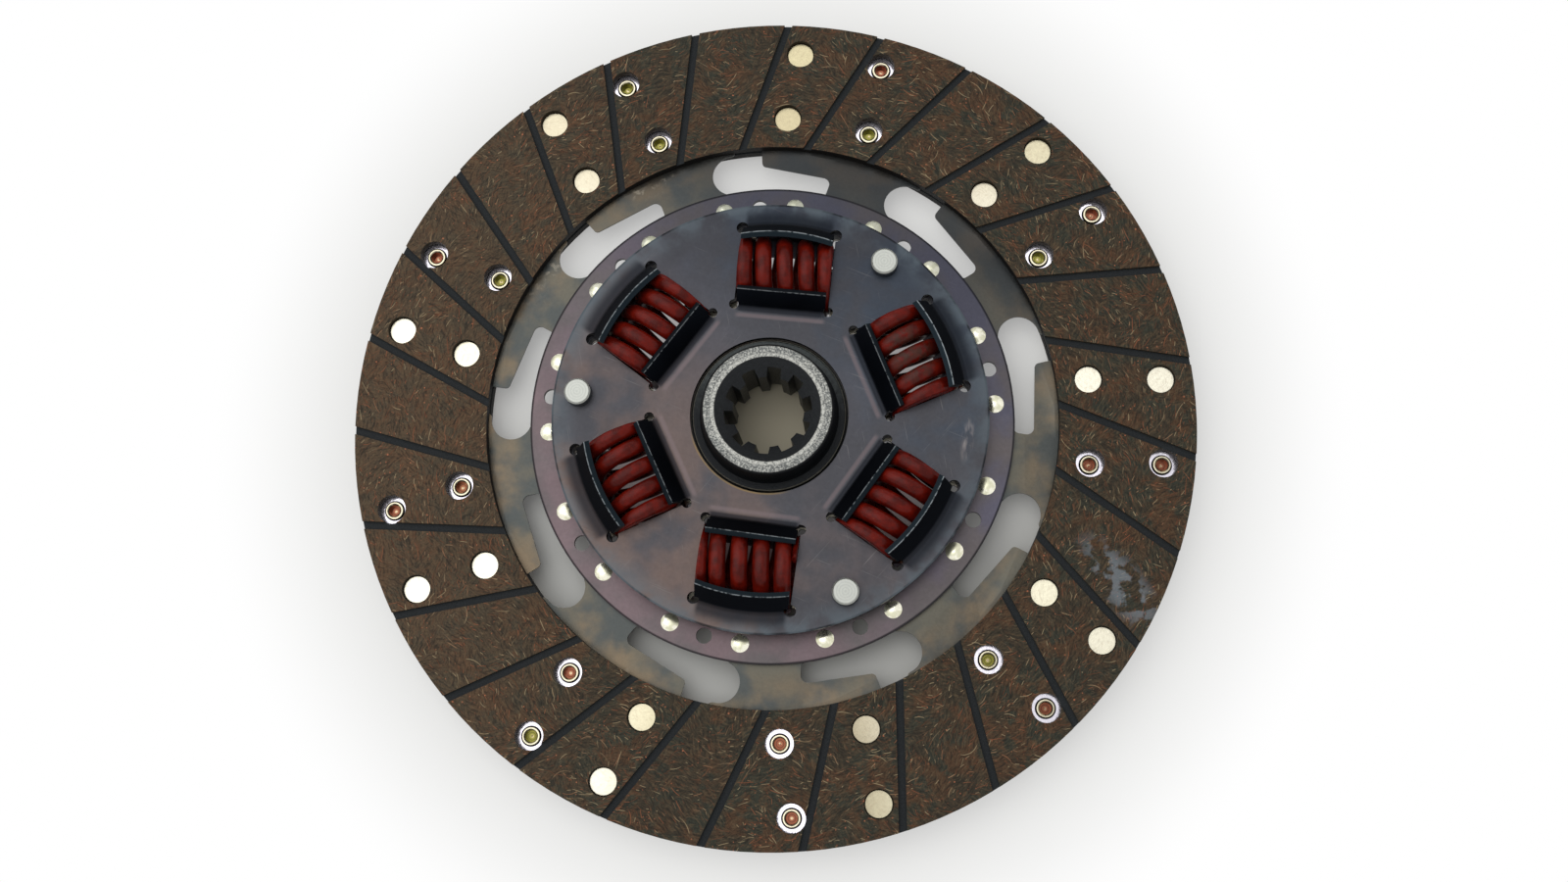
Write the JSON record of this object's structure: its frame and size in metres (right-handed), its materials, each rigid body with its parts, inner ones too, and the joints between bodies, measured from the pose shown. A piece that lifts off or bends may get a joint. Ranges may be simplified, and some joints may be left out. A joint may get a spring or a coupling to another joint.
{
  "type": "clutch disc",
  "caption": "Sprung-hub clutch friction disc with grooved riveted facings, cushion segments, damper springs in lipped windows and a splined hub.",
  "frame": {"origin": "on the hub's axis, in the plane midway between the two friction facings", "axes": "+Z along the hub's axis towards its nose, +X midway between the facing rivets of the first cushion segment, +Y to complete a right-handed frame"},
  "size_m": [0.2794, 0.2794, 0.0298],
  "materials": {
    "friction_lining": "pressed woven friction material, dark brown with short copper-coloured fibres",
    "spring_steel": "thin rolled steel, grey-olive with a light brown tint",
    "blued_steel": "heat-tinted pressed steel, purple-brown, finely scratched",
    "pressed_steel": "pressed steel plate, dark blue-grey, with bright worn lip edges",
    "hub_steel": "dark forged steel with a turned bright nose face",
    "rivet_metal": "pale plated soft rivets",
    "pin_steel": "satin light grey steel",
    "painted_spring": "oxide red painted spring wire",
    "friction_ring": "moulded friction washer"
  },
  "bodies": {
    "disc": {"front_facing": "friction_lining", "rear_facing": "friction_lining", "cushion_segment_1": "spring_steel", "cushion_segment_2": "spring_steel", "cushion_segment_3": "spring_steel", "cushion_segment_4": "spring_steel", "cushion_segment_5": "spring_steel", "cushion_segment_6": "spring_steel", "cushion_segment_7": "spring_steel", "cushion_segment_8": "spring_steel", "cushion_segment_9": "spring_steel", "drive_plate": "blued_steel", "cover_plate": "pressed_steel", "front_facing_rivets": "rivet_metal", "rear_facing_rivets": "rivet_metal", "plate_rivets": "rivet_metal", "stop_pin_1": "pin_steel", "stop_pin_2": "pin_steel", "stop_pin_3": "pin_steel", "front_friction_washer": "friction_ring", "rear_friction_washer": "friction_ring", "spring_washer": "spring_steel"},
    "hub": {"hub": "hub_steel"},
    "springs": {"damper_spring_1": "painted_spring", "damper_spring_2": "painted_spring", "damper_spring_3": "painted_spring", "damper_spring_4": "painted_spring", "damper_spring_5": "painted_spring", "damper_spring_6": "painted_spring"}
  },
  "joints": [
    {"name": "hub_turn", "type": "hinge", "parent": "disc", "child": "hub", "pos_m": [0, 0, 0], "axis": [0, 0, 1], "range_deg": [-5, 5], "stiffness_Nm_per_rad": 5600, "deforming": ["damper_spring_1", "damper_spring_2", "damper_spring_3", "damper_spring_4", "damper_spring_5", "damper_spring_6"]},
    {"name": "spring_follow", "type": "hinge", "parent": "disc", "child": "springs", "pos_m": [0, 0, 0], "axis": [0, 0, 1], "range_deg": [-2.5, 2.5]}
  ],
  "couplings": [
    {"joint": "spring_follow", "follows": "hub_turn", "ratio": 0.5}
  ]
}
